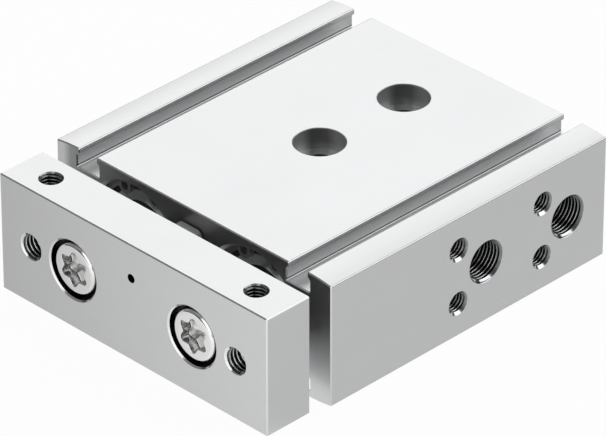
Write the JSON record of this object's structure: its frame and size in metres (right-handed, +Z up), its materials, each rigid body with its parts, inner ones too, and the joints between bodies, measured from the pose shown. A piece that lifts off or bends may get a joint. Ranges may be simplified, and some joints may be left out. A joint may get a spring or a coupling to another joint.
{
  "type": "double piston cylinder",
  "caption": "Flat guided pneumatic cylinder: parallel piston rods push a rectangular yoke plate out of an extruded aluminium housing with sensor slots, side ports and mounting threads.",
  "frame": {"origin": "midway between the two mounting holes, on the underside of the housing", "axes": "+X to the side with the air ports, +Y from the yoke plate to the closed rear end, +Z up to the counterbored face"},
  "size_m": [0.0802, 0.0981, 0.03],
  "materials": {
    "housing_aluminium": "natural anodised extrusion, satin with fine drawing lines",
    "yoke_aluminium": "natural anodised, brushed along its length",
    "cap_aluminium": "turned, natural anodised",
    "rod_chrome": "ground and hard chromed",
    "screw_steel": "bright zinc plated",
    "spring_steel": "dark phosphated",
    "black_rubber": "moulded nitrile rubber",
    "cushion_elastomer": "moulded polyurethane",
    "grey_elastomer": "moulded polyurethane, grey",
    "bearing_bronze": "sintered bronze",
    "magnet": "plastic-bonded magnet",
    "guide_plastic": "filled guide-ring plastic"
  },
  "bodies": {
    "barrel": {"housing": "housing_aluminium", "bearing_cap_left": "cap_aluminium", "bearing_cap_right": "cap_aluminium", "rod_wiper_left": "black_rubber", "rod_wiper_right": "black_rubber", "rod_bush_left": "bearing_bronze", "rod_bush_right": "bearing_bronze", "rod_seal_left": "black_rubber", "rod_seal_right": "black_rubber", "cap_o_ring_left": "black_rubber", "cap_o_ring_right": "black_rubber", "front_circlip_left": "spring_steel", "front_circlip_right": "spring_steel", "front_cushion_left": "cushion_elastomer", "front_cushion_right": "cushion_elastomer", "rear_cushion_left": "cushion_elastomer", "rear_cushion_right": "cushion_elastomer", "end_cap_left": "cap_aluminium", "end_cap_right": "cap_aluminium", "end_cap_o_ring_left": "black_rubber", "end_cap_o_ring_right": "black_rubber", "rear_circlip_left": "spring_steel", "rear_circlip_right": "spring_steel"},
    "yoke": {"yoke_plate": "yoke_aluminium", "stop_bumper": "grey_elastomer", "piston_rod_left": "rod_chrome", "piston_rod_right": "rod_chrome", "piston_left": "cap_aluminium", "piston_right": "cap_aluminium", "piston_seal_left": "black_rubber", "piston_seal_right": "black_rubber", "piston_magnet_left": "magnet", "piston_magnet_right": "magnet", "piston_wear_ring_left": "guide_plastic", "piston_wear_ring_right": "guide_plastic", "piston_nut_left": "screw_steel", "piston_nut_right": "screw_steel", "yoke_screw_left": "screw_steel", "yoke_screw_right": "screw_steel"}
  },
  "joints": [
    {"name": "stroke", "type": "slide", "parent": "barrel", "child": "yoke", "axis": [0, -1, 0], "range_m": [0, 0.01]}
  ]
}
